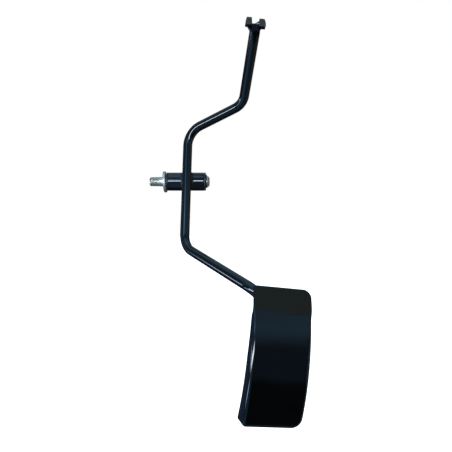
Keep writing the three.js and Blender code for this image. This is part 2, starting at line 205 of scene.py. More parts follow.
def round_edges(piece, width, segments=3, angle=40, smooth_angle=40):
    """Rounds a plain solid's edges that are sharper than an angle, over a width."""
    bevel = piece.modifiers.new("edges", "BEVEL")
    bevel.width = width
    bevel.segments = segments
    bevel.limit_method = "ANGLE"
    bevel.angle_limit = math.radians(angle)
    apply_modifiers(piece, smooth_angle)
    return piece


def grid_faces(rows, columns, wrap_rows=False, wrap_columns=True):
    """Quads over rows x columns points that are stored row by row."""
    faces = []
    for row in range(rows if wrap_rows else rows - 1):
        for column in range(columns if wrap_columns else columns - 1):
            next_row = (row + 1) % rows
            next_column = (column + 1) % columns
            faces.append((
                row * columns + column,
                row * columns + next_column,
                next_row * columns + next_column,
                next_row * columns + column,
            ))
    return faces


def rounded(corners, steps=5):
    """A closed outline through (x, y, radius) corners, each rounded by an arc."""
    points = []
    for index, (x, y, radius) in enumerate(corners):
        here = Vector((x, y))
        to_last = (Vector(corners[index - 1][:2]) - here).normalized()
        to_next = (Vector(corners[(index + 1) % len(corners)][:2]) - here).normalized()
        if radius == 0:
            points.append(here)
            continue
        half = to_last.angle(to_next) / 2
        centre = here + (to_last + to_next).normalized() * (radius / math.sin(half))
        start = here + to_last * (radius / math.tan(half)) - centre
        end = here + to_next * (radius / math.tan(half)) - centre
        sweep = math.pi - 2 * half
        for step in range(steps + 1):
            share = step / steps
            arm = start * math.sin((1 - share) * sweep) + end * math.sin(share * sweep)
            points.append(centre + arm / math.sin(sweep))
    return points


def turned(name, outline, segments=ROUND_SEGMENTS, smooth_angle=32):
    """A ring turned about X from a closed (position along X, radius) outline."""
    points = []
    for position, radius in outline:
        for segment in range(segments):
            angle = math.tau * segment / segments
            points.append((position, radius * math.cos(angle), radius * math.sin(angle)))
    faces = grid_faces(len(outline), segments, wrap_rows=True)
    return new_piece(name, points, faces, smooth_angle)


def prism(name, outline, start, end):
    """A front view in (x, z) that runs from one y to another."""
    count = len(outline)
    points = [(x, y, z) for y in (start, end) for x, z in outline]
    faces = grid_faces(2, count)
    faces += [tuple(range(count)), tuple(range(2 * count - 1, count - 1, -1))]
    return new_piece(name, points, faces)


def bent_line(corners, radius, bend_steps=24, leg_length=12 * MM):
    """(point, direction) stations on straight legs joined by round bends."""
    stations = [(corners[0], (corners[1] - corners[0]).normalized())]
    for last, here, following in zip(corners, corners[1:], corners[2:]):
        arrive = (here - last).normalized()
        leave = (following - here).normalized()
        turn = arrive.angle(leave)
        start = here - arrive * radius * math.tan(turn / 2)
        add_leg(stations, start, arrive, leg_length)
        inward = (leave - arrive * math.cos(turn)).normalized()
        for step in range(1, bend_steps + 1):
            angle = turn * step / bend_steps
            across = inward * radius * (1 - math.cos(angle))
            point = start + arrive * radius * math.sin(angle) + across
            stations.append((point, arrive * math.cos(angle) + inward * math.sin(angle)))
    add_leg(stations, corners[-1], stations[-1][1], leg_length)
    return stations


def add_leg(stations, end, direction, leg_length):
    """Stations along a straight leg, about leg_length apart, up to its end."""
    start = stations[-1][0]
    count = max(1, round((end - start).length / leg_length))
    for step in range(1, count + 1):
        stations.append((start.lerp(end, step / count), direction))


def swept(name, stations, radius_at, segments, smooth_angle=50):
    """A round bar along stations; radius_at(share, angle) gives its radius."""
    side = stations[0][1].orthogonal().normalized()
    points = []
    for index, (point, direction) in enumerate(stations):
        side = (side - direction * side.dot(direction)).normalized()
        upright = direction.cross(side)
        share = index / (len(stations) - 1)
        for segment in range(segments):
            angle = math.tau * segment / segments
            arm = side * math.cos(angle) + upright * math.sin(angle)
            points.append(point + arm * radius_at(share, angle))
    count = len(points)
    faces = grid_faces(len(stations), segments)
    faces += [tuple(range(segments)), tuple(range(count - 1, count - segments - 1, -1))]
    return new_piece(name, points, faces, smooth_angle)


def smoothstep(low, high, value):
    """0 at low, 1 at high and smooth between."""
    share = min(1, max(0, (value - low) / (high - low)))
    return share * share * (3 - 2 * share)


def quarter(steps):
    """The angles of a quarter turn, both ends included."""
    return [math.radians(90 * step / steps) for step in range(steps + 1)]


# ---- Materials ----

class Recipe:
    """A material's node tree, with short calls for the nodes that this script needs."""

    def __init__(self, name, **values):
        self.material = bpy.data.materials.new(name)
        self.material.use_nodes = True
        self.nodes = self.material.node_tree.nodes
        self.links = self.material.node_tree.links
        self.surface = self.nodes["Principled BSDF"]
        for socket, value in values.items():
            self.surface.inputs[socket].default_value = value
        self.place = self.nodes.new("ShaderNodeTexCoord").outputs["Object"]

    def set(self, node, values):
        for socket, value in values.items():
            if isinstance(value, bpy.types.NodeSocket):
                self.links.new(value, node.inputs[socket])
            else:
                node.inputs[socket].default_value = value
        return node

    def noise(self, scale, detail=2, roughness=0.5, vector=None):
        node = self.nodes.new("ShaderNodeTexNoise")
        values = {"Vector": vector or self.place, "Scale": scale, "Detail": detail,
                  "Roughness": roughness}
        return self.set(node, values).outputs["Fac"]

    def ramp(self, factor, stops):
        node = self.nodes.new("ShaderNodeValToRGB")
        elements = node.color_ramp.elements
        while len(elements) < len(stops):
            elements.new(1)
        for element, (position, colour) in zip(elements, stops):
            element.position = position
            element.color = (*colour, 1)
        self.links.new(factor, node.inputs["Fac"])
        return node.outputs["Color"]

    def range(self, value, low, high, to_low, to_high):
        node = self.nodes.new("ShaderNodeMapRange")
        values = {"Value": value, "From Min": low, "From Max": high, "To Min": to_low,
                  "To Max": to_high}
        return self.set(node, values).outputs["Result"]

    def bump(self, height, distance, strength=1, normal=None):
        node = self.nodes.new("ShaderNodeBump")
        values = {"Height": height, "Distance": distance, "Strength": strength}
        if normal is not None:
            values["Normal"] = normal
        return self.set(node, values).outputs["Normal"]

    def use(self, socket, output):
        self.links.new(output, self.surface.inputs[socket])


def black_paint(name, gloss):
    """Black paint: faint orange peel, tiny dust nibs and a cloudy gloss."""
    paint = Recipe(name, IOR=1.5)
    cloud = paint.noise(60, detail=4)
    paint.use("Base Color", black_colour(paint, cloud))
    paint.use("Roughness", paint.range(cloud, 0.3, 0.7, gloss, gloss + 0.04))
    paint.use("Normal", paint_surface(paint))
    return paint.material


def black_colour(paint, cloud):
    """Deep black, a little greyer where the cloudy noise is high."""
    return paint.ramp(cloud, [
        (0.3, (0.0003, 0.0004, 0.0004)),
        (0.7, (0.0008, 0.0009, 0.0010)),
    ])


def paint_surface(paint):
    """Orange peel, and nibs where dust has settled in the paint."""
    peel = paint.bump(paint.noise(260, detail=1), 0.02 * MM, 0.18)
    nib = paint.range(paint.noise(1100, detail=0), 0.80, 0.86, 0, 1)
    return paint.bump(nib, 0.03 * MM, 0.4, peel)


def ear_sheen_paint():
    """The fork's paint: black, with a painted grey sheen and a duller gloss on the fronts of its
    ears, where they catch the light.
    """
    paint = Recipe("ear_sheen_paint", IOR=1.5)
    forward = FORK_POSE.to_3x3() @ Vector((0, -1, 0))
    dot = paint.nodes.new("ShaderNodeVectorMath")
    dot.operation = "DOT_PRODUCT"
    paint.set(dot, {0: paint.place, 1: forward})
    sheen_mottle = paint.noise(900, detail=3)
    ragged = paint.range(sheen_mottle, 0.3, 0.7, -0.5 * MM, 0.5 * MM)
    reach = paint.nodes.new("ShaderNodeMath")
    paint.set(reach, {0: dot.outputs["Value"], 1: ragged})
    front = FORK_BASE.dot(forward) + EAR_REACH
    # Share of painted sheen: 1 on the ears' fronts, with a ragged edge
    sheen_share = paint.range(reach.outputs[0], front - 1.0 * MM, front - 0.3 * MM, 0, 1)
    mix = paint.nodes.new("ShaderNodeMix")
    mix.data_type = "RGBA"
    black = black_colour(paint, paint.noise(60, detail=4))
    # Painted sheen: a grey colour on the ears' fronts stands in for the light that they catch
    sheen_grey = paint.ramp(sheen_mottle, [
        (0.3, (0.016, 0.014, 0.012)),
        (0.7, (0.028, 0.025, 0.022)),
    ])
    paint.set(mix, {"Factor": sheen_share, "A": black, "B": sheen_grey})
    paint.use("Base Color", mix.outputs["Result"])
    paint.use("Roughness", paint.range(sheen_share, 0, 1, 0.09, 0.22))
    paint.use("Normal", paint_surface(paint))
    return paint.material


def zinc_plate():
    """Bright zinc: satin, patchy, slightly yellow, with turning marks round the axis."""
    zinc = Recipe("zinc_plate", Metallic=1)
    patch = zinc.noise(240, detail=5, roughness=0.6)
    zinc.use("Base Color", zinc.ramp(patch, [
        (0.25, (0.42, 0.39, 0.31)),
        (0.55, (0.52, 0.50, 0.42)),
        (0.80, (0.62, 0.62, 0.56)),
    ]))
    zinc.use("Roughness", zinc.range(patch, 0.25, 0.8, 0.50, 0.38))
    mapping = zinc.nodes.new("ShaderNodeMapping")
    mapping.inputs["Scale"].default_value = (4200, 90, 90)
    zinc.links.new(zinc.place, mapping.inputs["Vector"])
    marks = zinc.noise(1, detail=2, vector=mapping.outputs["Vector"])
    zinc.use("Normal", zinc.bump(marks, 0.02 * MM, 0.5))
    return zinc.material


def bush_polymer():
    """Matt black moulded polymer with a fine grain."""
    polymer = Recipe("bush_polymer")
    grain = polymer.noise(1500, detail=3)
    polymer.use("Base Color", polymer.ramp(grain, [
        (0.3, (0.006, 0.006, 0.006)),
        (0.7, (0.012, 0.012, 0.013)),
    ]))
    polymer.use("Roughness", polymer.range(grain, 0.3, 0.7, 0.42, 0.6))
    polymer.use("Normal", polymer.bump(grain, 0.03 * MM, 0.4))
    return polymer.material


def spring_steel():
    """Phosphated spring steel: nearly black, satin, with rubbed lighter spots."""
    steel = Recipe("spring_steel", Metallic=0.4)
    rubbed = steel.noise(500, detail=4, roughness=0.65)
    steel.use("Base Color", steel.ramp(rubbed, [
        (0.45, (0.010, 0.010, 0.009)),
        (0.75, (0.055, 0.050, 0.045)),
    ]))
    steel.use("Roughness", steel.range(rubbed, 0.3, 0.8, 0.5, 0.32))
    steel.use("Normal", steel.bump(rubbed, 0.03 * MM, 0.3))
    return steel.material


MATERIALS = {
    "black_paint": black_paint("black_paint", 0.05),
    "zinc_plate": zinc_plate(),
    "bush_polymer": bush_polymer(),
    "spring_steel": spring_steel(),
}
WELD_PAINT = black_paint("weld_paint", 0.55)  # duller over the ripples of a bead


def fit_piece(piece, body, slot, *nodes, finish=None):
    """Gives a piece its finish (the slot's material unless another finish is given), puts it on its
    body and hides the CAD nodes that it replaces.
    """
    piece.data.materials.clear()
    piece.data.materials.append(finish or MATERIALS[slot])
    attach(piece, body)
    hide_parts(*nodes)
    return piece


# ---- Pivot ----

def along_x(node):
    """Where a CAD node starts and ends along the pin."""
    low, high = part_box(node)
    return low.x, high.x


def thread_cut(position, angle, start, end):
    """How deep the helical thread is cut at a place on the stud."""
    if not start <= position <= end:
        return 0
    turn = ((position - start) / THREAD_PITCH - angle / math.tau) % 1
    from_root = abs(turn - 0.5) * 2
    climb = min(1, max(0, (from_root - THREAD_ROOT) / THREAD_FLANK))
    run_out = smoothstep(end, end - THREAD_PITCH, position)
    return THREAD_DEPTH * (1 - climb) * run_out


def pin_profile():
    """(position, radius) of the pin from the stud's end to its chamfered end."""
    start, end = along_x("pivot_pin")
    washer_end = along_x("mount_washer")[1]
    clip_start, clip_end = along_x("circlip")
    shank_start = washer_end + 0.2 * MM
    gap = 0.1 * MM
    chamfer = 1.1 * MM
    break_edge = 0.3 * MM
    groove = SHANK_RADIUS - GROOVE_DEPTH
    profile = []
    steps = 130
    for step in range(steps + 1):
        position = start + (THREAD_LENGTH + THREAD_PITCH) * step / steps
        radius = min(STUD_RADIUS, STUD_RADIUS - chamfer + (position - start))
        profile.append((position, radius))
    profile += [
        (shank_start, STUD_RADIUS),
        (shank_start, SHANK_RADIUS - break_edge),
        (shank_start + break_edge, SHANK_RADIUS),
        (clip_start - gap, SHANK_RADIUS),
        (clip_start - gap, groove),
        (clip_end + gap, groove),
        (clip_end + gap, SHANK_RADIUS),
        (end - PIN_CHAMFER - break_edge, SHANK_RADIUS),
        (end - PIN_CHAMFER + break_edge, SHANK_RADIUS - break_edge),
        (end - break_edge, SHANK_RADIUS - PIN_CHAMFER),
        (end, SHANK_RADIUS - PIN_CHAMFER - break_edge),
    ]
    return profile


def pivot_pin():
    """The turned pin, with its thread cut along a helix."""
    profile = pin_profile()
    start = profile[0][0]
    end = start + THREAD_LENGTH
    points = []
    for position, radius in profile:
        for segment in range(ROUND_SEGMENTS):
            angle = math.tau * segment / ROUND_SEGMENTS
            root = STUD_RADIUS - thread_cut(position, angle, start, end)
            reach = min(radius, root) if position <= end else radius
            points.append((position, reach * math.cos(angle), reach * math.sin(angle)))
    faces = grid_faces(len(profile), ROUND_SEGMENTS)
    count = len(points)
    for first, centre_x in ((0, start), (count - ROUND_SEGMENTS, profile[-1][0])):
        centre = len(points)
        points.append((centre_x, 0, 0))
        for segment in range(ROUND_SEGMENTS):
            following = (segment + 1) % ROUND_SEGMENTS
            faces.append((first + segment, first + following, centre))
    piece = new_piece("pivot_pin_turned", points, faces, 40)
    return fit_piece(piece, "pivot", "zinc_plate", "pivot_pin")


def mount_washer():
    """The loose washer: it hangs on the stud, a little low and cocked."""
    start, end = along_x("mount_washer")
    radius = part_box("mount_washer")[1].z
    outline = rounded([
        (start, WASHER_HOLE_RADIUS, 0.25 * MM),
        (start, radius, 0.35 * MM),
        (end, radius, 0.75 * MM),
        (end, WASHER_HOLE_RADIUS, 0.25 * MM),
    ])
    piece = turned("mount_washer_pressed", outline)
    middle = Vector(((start + end) / 2, 0, 0))
    tilt = Matrix.Rotation(math.radians(WASHER_TILT), 4, "Y")
    place = Matrix.Translation(middle + WASHER_DROP)
    piece.data.transform(place @ tilt @ Matrix.Translation(-middle))
    return fit_piece(piece, "pivot", "zinc_plate", "mount_washer")


def flanged_bush(name, node, side):
    """A flanged bush; side is the direction that its sleeve points in along X."""
    low, high = along_x(node)
    outer = low if side > 0 else high
    length = (high - low) * side
    flange_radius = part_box(node)[1].z
    flange = FLANGE_THICKNESS * side
    outline = rounded([
        (outer, BUSH_BORE_RADIUS, 0.3 * MM),
        (outer, flange_radius, 0.45 * MM),
        (outer + flange, flange_radius, 0.2 * MM),
        (outer + flange, BUSH_SLEEVE_RADIUS, 0.15 * MM),
        (outer + length, BUSH_SLEEVE_RADIUS, 0.4 * MM),
        (outer + length, BUSH_BORE_RADIUS, 0.1 * MM),
    ], 4)
    return fit_piece(turned(name, outline), "lever", "bush_polymer", node)


def pivot_tube():
    start, end = along_x("pivot_tube")
    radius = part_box("pivot_tube")[1].z
    outline = rounded([
        (start, TUBE_BORE_RADIUS, 0.4 * MM),
        (start, radius, 0.55 * MM),
        (end, radius, 0.55 * MM),
        (end, TUBE_BORE_RADIUS, 0.4 * MM),
    ])
    return fit_piece(turned("pivot_tube_painted", outline), "lever", "black_paint", "pivot_tube")


def circlip_outline(radius, inner):
    """End view of an external circlip, with two lugs beside its opening at the bottom."""
    half_opening = math.radians(CIRCLIP_OPENING / 2)
    lug_turn = CIRCLIP_LUG / radius
    outer, inside = [], []
    steps = 96
    for step in range(steps + 1):
        turn = half_opening + (math.tau - 2 * half_opening) * step / steps
        from_end = min(turn - half_opening, math.tau - half_opening - turn)
        lug = 1 - smoothstep(lug_turn * 0.75, lug_turn, from_end)
        body = inner + (radius - inner) * (0.72 + 0.28 * math.sin(turn / 2))
        reach = body + (radius - body) * lug
        direction = Vector((math.sin(turn), -math.cos(turn)))
        outer.append(direction * reach)
        inside.append(direction * inner)
    return outer + inside[::-1]


def circlip():
    start, end = along_x("circlip")
    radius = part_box("circlip")[1].z
    inner = SHANK_RADIUS - GROOVE_DEPTH + 0.1 * MM
    outline = circlip_outline(radius, inner)
    count = len(outline)
    points = [(x, y, z) for x in (start, end) for y, z in outline]
    faces = grid_faces(2, count)
    half = count // 2
    for index in range(half - 1):
        inside = count - 1 - index
        faces.append((index, index + 1, inside - 1, inside))
        faces.append((count + inside, count + inside - 1, count + index + 1, count + index))
    piece = new_piece("circlip_stamped", points, faces)
    round_edges(piece, 0.12 * MM, segments=2, angle=50, smooth_angle=32)
    return fit_piece(piece, "pivot", "spring_steel", "circlip")


# ---- Foot pad ----

PAD_POSE = Matrix.Translation(PAD_CENTRE) @ (
    Matrix.Rotation(math.radians(PAD_ROLL), 4, "Y")
    @ Matrix.Rotation(math.radians(PAD_YAW), 4, "Z")
    @ Matrix.Rotation(math.radians(90 + PAD_PITCH), 4, "X")
)
PAD_TOP = PAD_CURVE_RADIUS * math.sin(PAD_LENGTH / 2 / PAD_CURVE_RADIUS)


def pad_point(across, along, depth):
    """A point from its place across, along and behind the pad's curved face."""
    angle = along / PAD_CURVE_RADIUS
    radius = PAD_CURVE_RADIUS - depth
    local = (across, radius * math.sin(angle), radius * math.cos(angle) - PAD_CURVE_RADIUS)
    return PAD_POSE @ Vector(local)


def pad_behind(across, height, depth):
    """A point straight behind the face, in the pad's own frame."""
    face = math.sqrt(PAD_CURVE_RADIUS ** 2 - height ** 2) - PAD_CURVE_RADIUS
    return Vector((across, height, face - depth))


def skirt_depth(height):
    """How far the pad's edge is folded back at a height above its middle."""
    if height >= 0:
        slope = (SKIRT_SHOULDER_DEPTH - SKIRT_MIDDLE_DEPTH) / SKIRT_SHOULDER
        full = SKIRT_MIDDLE_DEPTH + slope * height
    else:
        slope = (SKIRT_BOTTOM_DEPTH - SKIRT_MIDDLE_DEPTH) / PAD_TOP
        full = SKIRT_MIDDLE_DEPTH - slope * height
    plain = smoothstep(SKIRT_SHOULDER - 3 * MM, SKIRT_TOP, height)
    return full + (PAD_SHEET - full) * plain


def fold_radius(height, outward):
    """The fold is tighter on the left than on the right, and ends below the plain top."""
    full = PAD_LEFT_FOLD + (PAD_RIGHT_FOLD - PAD_LEFT_FOLD) * (1 + outward.x) / 2
    plain = smoothstep(SKIRT_SHOULDER - 3 * MM, SKIRT_TOP + 1 * MM, height)
    return full + (PAD_TOP_FOLD - full) * plain


def pad_loop():
    """(point, outward direction, point of the middle line) round the pad's front view."""
    left, right, top = -PAD_LEFT, PAD_RIGHT, PAD_TOP
    spine = top - PAD_LEFT
    side_steps, arc_steps, end_steps = 60, 14, 24
    loop = []

    def straight(start, end, steps, outward):
        for step in range(steps):
            loop.append((Vector(start).lerp(Vector(end), step / steps), Vector(outward)))

    def corner(side, end, radius, first):
        centre = Vector((side - math.copysign(radius, side), end - math.copysign(radius, end)))
        for step in range(arc_steps):
            angle = math.radians(first + 90 * step / arc_steps)
            outward = Vector((math.cos(angle), math.sin(angle)))
            loop.append((centre + outward * radius, outward))

    left_low, right_low = PAD_BOTTOM_LEFT_CORNER, PAD_BOTTOM_RIGHT_CORNER
    left_top, right_top = PAD_TOP_LEFT_CORNER, PAD_TOP_RIGHT_CORNER
    straight((left, spine), (left, -spine), side_steps, (-1, 0))
    straight((left, -spine), (left, left_low - top), end_steps, (-1, 0))
    corner(left, -top, left_low, 180)
    straight((left + left_low, -top), (right - right_low, -top), end_steps, (0, -1))
    corner(right, -top, right_low, 270)
    straight((right, right_low - top), (right, -spine), end_steps, (1, 0))
    straight((right, -spine), (right, spine), side_steps, (1, 0))
    straight((right, spine), (right, top - right_top), end_steps, (1, 0))
    corner(right, top, right_top, 0)
    straight((right - right_top, top), (left + left_top, top), end_steps, (0, 1))
    corner(left, top, left_top, 90)
    straight((left, top - left_top), (left, spine), end_steps, (-1, 0))
    return [(point, outward, Vector((0, min(spine, max(-spine, point.y)))))
            for point, outward in loop]


def edge_section(height, outward):
    """(inset, depth) pairs over the pad's edge, from its face round to its back."""
    depth = skirt_depth(height)
    fold = fold_radius(height, outward)
    edge = PAD_EDGE_RADIUS
    sheet = PAD_SHEET
    outer_end = max(depth - edge, fold)
    inner_end = max(depth - edge, sheet)
    inner_fold = max(fold - sheet, 0.3 * MM)
    inner_top = min(sheet + inner_fold, inner_end)
    section = []
    for angle in quarter(10):
        section.append((fold * (1 - math.sin(angle)), fold * (1 - math.cos(angle))))
    for share in (0.25, 0.5, 0.75):
        section.append((0, fold + (outer_end - fold) * share))
    for angle in quarter(3):
        section.append((edge * (1 - math.cos(angle)),
                        outer_end + min(edge, depth - fold) * math.sin(angle)))
    for angle in quarter(3):
        section.append((sheet - edge * math.cos(angle),
                        depth + (inner_end - depth) * (1 - math.cos(angle))))
    for share in (0.33, 0.67):
        section.append((sheet, inner_end + (inner_top - inner_end) * share))
    for angle in quarter(5):
        section.append((sheet + inner_fold * (1 - math.cos(angle)),
                        sheet + (inner_top - sheet) * (1 - math.sin(angle))))
    return section


def foot_pad():
    """The pressed sheet: rings from the face's middle line, over the edge, to the back's."""
    loop = pad_loop()
    sections = [edge_section(point.y, outward) for point, outward, _ in loop]
    inward_steps = 14
    crowding = 0.8  # rings lie closer together towards the edge

    def flat_ring(step, place):
        share = (step / inward_steps) ** crowding
        return [(middle.lerp(point - outward * section[place][0], share), section[place][1])
                for (point, outward, middle), section in zip(loop, sections)]

    rings = [flat_ring(step, 0) for step in range(inward_steps)]
    for place in range(len(sections[0])):
        rings.append([(point - outward * section[place][0], section[place][1])
                      for (point, outward, _), section in zip(loop, sections)])
    rings += [flat_ring(step, -1) for step in reversed(range(inward_steps))]
    points = [pad_behind(flat.x, flat.y, depth) for ring in rings for flat, depth in ring]
    piece = new_piece("pedal_pad_pressed", points, grid_faces(len(rings), len(loop)), 40)
    piece.data.transform(PAD_POSE)
    return fit_piece(piece, "lever", "black_paint", "pedal_pad")


# ---- Lever rod ----

def crossing_point(x, z):
    """A point of the stretch that passes in front of the pivot tube."""
    return Vector((x, CROSSING_Y + CROSSING_LEAN * z, z))


def rod_line():
    """The rod's middle line, from under the fork to its end behind the pad."""
    depth = PAD_SHEET + PAD_ROD_GAP + ROD_RADIUS
    return bent_line([
        ROD_TOP,
        UPPER_BEND,
        crossing_point(*PIVOT_BEND),
        crossing_point(*LOWER_BEND),
        pad_point(*PAD_ROD_CORNER, depth + PAD_ROD_LIFT),
        pad_point(*PAD_ROD_END, depth),
    ], BEND_RADIUS)


FORK_POSE = Matrix.Translation(FORK_BASE) @ (
    Matrix.Rotation(math.radians(FORK_ROLL), 4, "Y")
    @ Matrix.Rotation(math.radians(FORK_YAW), 4, "Z")
)


def cut_away(solid, point, normal):
    """Cuts off what lies beyond a plane at the rod's upper end, and closes the cut."""
    def is_high(face):
        return all(vert.co.z > ROD_CUTS_ABOVE for vert in face.verts)

    verts = [vert for vert in solid.verts if any(is_high(face) for face in vert.link_faces)]
    edges = [edge for edge in solid.edges if any(is_high(face) for face in edge.link_faces)]
    faces = [face for face in solid.faces if is_high(face)]
    cut = bmesh.ops.bisect_plane(solid, geom=verts + edges + faces, plane_co=point,
                                 plane_no=normal, clear_outer=True)
    rim = [part for part in cut["geom_cut"] if isinstance(part, bmesh.types.BMEdge)]
    bmesh.ops.contextual_create(solid, geom=rim)


def lever_rod():
    """The bent bar: cut level under the fork, flat in front and ground away on the right."""
    piece = swept("lever_rod_bent", rod_line(), lambda share, angle: ROD_RADIUS,
                  ROD_SEGMENTS)
    turn = FORK_POSE.to_3x3()
    nick = Euler((math.radians(ROD_NICK_TILT), 0, math.radians(ROD_NICK_TURN))).to_matrix()
    forward = Vector((0, -1, 0))
    solid = bmesh.new()
    solid.from_mesh(piece.data)
    for normal, distance in (
        (Vector((0, 0, 1)), -ROD_TOP_GAP),
        (forward, ROD_FLAT_REACH),
        (nick @ forward, ROD_NICK_DISTANCE),
    ):
        normal = turn @ normal
        cut_away(solid, FORK_BASE + normal * distance, normal)
    solid.to_mesh(piece.data)
    solid.free()
    tidy_mesh(piece, 40)
    return fit_piece(piece, "lever", "black_paint", "lever_rod")


# ---- Cable fork ----

def in_metres(corners):
    """(x, y, radius) corners from millimetres to metres."""
    return [(x * MM, y * MM, radius * MM) for x, y, radius in corners]


def fork_plate_outline():
    """Front view of the fork's plate, with the cable's round notch in its top."""
    notch_centre = NOTCH_BOTTOM + NOTCH_RADIUS
    half_angle = math.acos((notch_centre - FORK_HEIGHT) / NOTCH_RADIUS)
    corners = [(PLATE_LEFT_SIDE[0][0], FORK_HEIGHT, 0.4), *PLATE_LEFT_SIDE, *PLATE_RIGHT_SIDE,
               (PLATE_RIGHT_SIDE[-1][0], FORK_HEIGHT, 0.4)]
    steps = 16
    for step in range(steps + 1):
        angle = half_angle * (1 - 2 * step / steps)
        corners.append((NOTCH_OFFSET + NOTCH_RADIUS * math.sin(angle),
                        notch_centre - NOTCH_RADIUS * math.cos(angle), 0))
    return rounded(in_metres(corners))


def combine(piece, other, operation):
    """Joins or cuts a piece with another solid, and removes the other object."""
    change = piece.modifiers.new("change", "BOOLEAN")
    change.operation = operation
    change.solver = "EXACT"
    change.object = other
    apply_modifiers(piece, 35)
    bpy.data.objects.remove(other)


def fork_throat():
    """The block that hollows out the plate's face between the ears."""
    left, right = THROAT
    corners = [(left, 0), (right, 0), (right, -THROAT_TOP * 2), (left, -THROAT_TOP * 2)]
    block = prism("throat", [Vector(corner) for corner in corners], -EAR_REACH, 0)
    lean = Matrix.Rotation(math.radians(THROAT_LEAN), 4, "X")
    block.data.transform(Matrix.Translation((0, 0, THROAT_TOP)) @ lean)
    return block


def cable_fork():
    piece = prism("cable_fork_welded", fork_plate_outline(), 0, FORK_PLATE)
    round_edges(piece, PLATE_EDGE)
    combine(piece, fork_throat(), "DIFFERENCE")
    for outline in (LEFT_EAR, RIGHT_EAR):
        ear = prism("ear", rounded(in_metres(outline)), -EAR_REACH, EAR_ROOT)
        combine(piece, round_edges(ear, EAR_EDGE), "UNION")
    piece.data.transform(FORK_POSE)
    flat = piece.modifiers.new("flat_faces", "WEIGHTED_NORMAL")
    flat.keep_sharp = True
    return fit_piece(piece, "lever", "black_paint", "cable_fork", finish=ear_sheen_paint())


# ---- Weld beads ----

def rippled(radius, ripples, depth, seed):
    """The radius of a weld bead: overlapping ripples, uneven, closed at both ends."""
    def radius_at(share, angle):
        ends = math.sqrt(max(0, 1 - (2 * share - 1) ** 10))
        wave = 1 - depth * abs(math.sin(math.pi * ripples * share + 0.5 * math.cos(angle)))
        uneven = 1 + 0.12 * noise.noise(Vector((share * ripples, math.cos(angle), seed)))
        return radius * max(0.02, ends) * wave * uneven
    return radius_at


def bead_stations(route, steps=90):
    """(point, direction) stations along route(share)."""
    stations = []
    for step in range(steps + 1):
        share = step / steps
        ahead = route(min(1, share + 0.001))
        behind = route(max(0, share - 0.001))
        stations.append((route(share), (ahead - behind).normalized()))
    return stations


def tube_bead(name, node, side):
    """The bead round the front of the pivot tube on one side of the rod."""
    tube_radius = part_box("pivot_tube")[1].z
    across = CROSSING_X + side * ROD_RADIUS

    def route(share):
        angle = math.radians(TUBE_BEAD_SWEEP) * (2 * share - 1)
        return Vector((across, -tube_radius * math.cos(angle), tube_radius * math.sin(angle)))

    radius_at = rippled(TUBE_BEAD_RADIUS, 13, 0.05, side)
    bead = swept(name, bead_stations(route), radius_at, BEAD_SEGMENTS)
    return fit_piece(bead, "lever", "black_paint", node, finish=WELD_PAINT)


def pad_bead(name, node, side):
    """A fillet along one side of the rod's lower end, on the back of the pad."""
    start, end = Vector(PAD_BEAD_START), Vector(PAD_ROD_END)
    along = (end - start).normalized()
    offset = Vector((-along.y, along.x)) * side * PAD_BEAD_OFFSET

    def route(share):
        flat = start.lerp(end, share) + offset
        return pad_point(flat.x, flat.y, PAD_SHEET + PAD_BEAD_RADIUS * 0.8)

    radius_at = rippled(PAD_BEAD_RADIUS, 16, 0.14, side + 5)
    bead = swept(name, bead_stations(route), radius_at, BEAD_SEGMENTS)
    return fit_piece(bead, "lever", "black_paint", node)


def fork_bead():
    """The bead behind the fork's plate, on the level end of the rod."""
    start = PLATE_LEFT_SIDE[-1][0] + 1
    end = PLATE_RIGHT_SIDE[0][0] - 1

    def route(share):
        across = (start + (end - start) * share) * MM
        return FORK_POSE @ Vector((across, FORK_PLATE, 0.4 * MM))

    radius_at = rippled(FORK_BEAD_RADIUS * 0.8, 6, 0.12, 9)
    bead = swept("fork_weld_bead", bead_stations(route), radius_at, BEAD_SEGMENTS)
    return fit_piece(bead, "lever", "black_paint", "fork_weld")


# ---- Studio ----

CAMERA_PLACE = Vector((65.7, -482, -47.2)) * MM
LENS = 36.08
SENSOR = 36
FLOOR_HEIGHT = -0.75


def add_camera():
    data = bpy.data.cameras.new("camera")
    data.lens = LENS
    data.sensor_width = SENSOR
    data.clip_start = 0.01
    camera = bpy.data.objects.new("camera", data)
    camera.location = CAMERA_PLACE
    camera.rotation_euler = Euler((math.radians(90), 0, 0))
    bpy.context.scene.collection.objects.link(camera)
    bpy.context.scene.camera = camera


def add_floor():
    """A plain pale floor. Reflections leave it out and show the surround instead."""
    half = 30
    points = [(-half, -half, 0), (half, -half, 0), (half, half, 0), (-half, half, 0)]
    mesh = bpy.data.meshes.new("floor")
    mesh.from_pydata(points, [], [(0, 1, 2, 3)])
    floor = bpy.data.objects.new("floor", mesh)
    floor.location.z = FLOOR_HEIGHT
    bpy.context.scene.collection.objects.link(floor)
    pale = bpy.data.materials.new("floor_pale")
    pale.use_nodes = True
    shader = pale.node_tree.nodes["Principled BSDF"]
    shader.inputs["Base Color"].default_value = (0.9, 0.9, 0.9, 1)
    shader.inputs["Roughness"].default_value = 1
    shader.inputs["Emission Color"].default_value = (1, 1, 1, 1)
    shader.inputs["Emission Strength"].default_value = 1.3
    mesh.materials.append(pale)
    floor.visible_glossy = False
    floor.visible_diffuse = False
    floor.visible_shadow = False


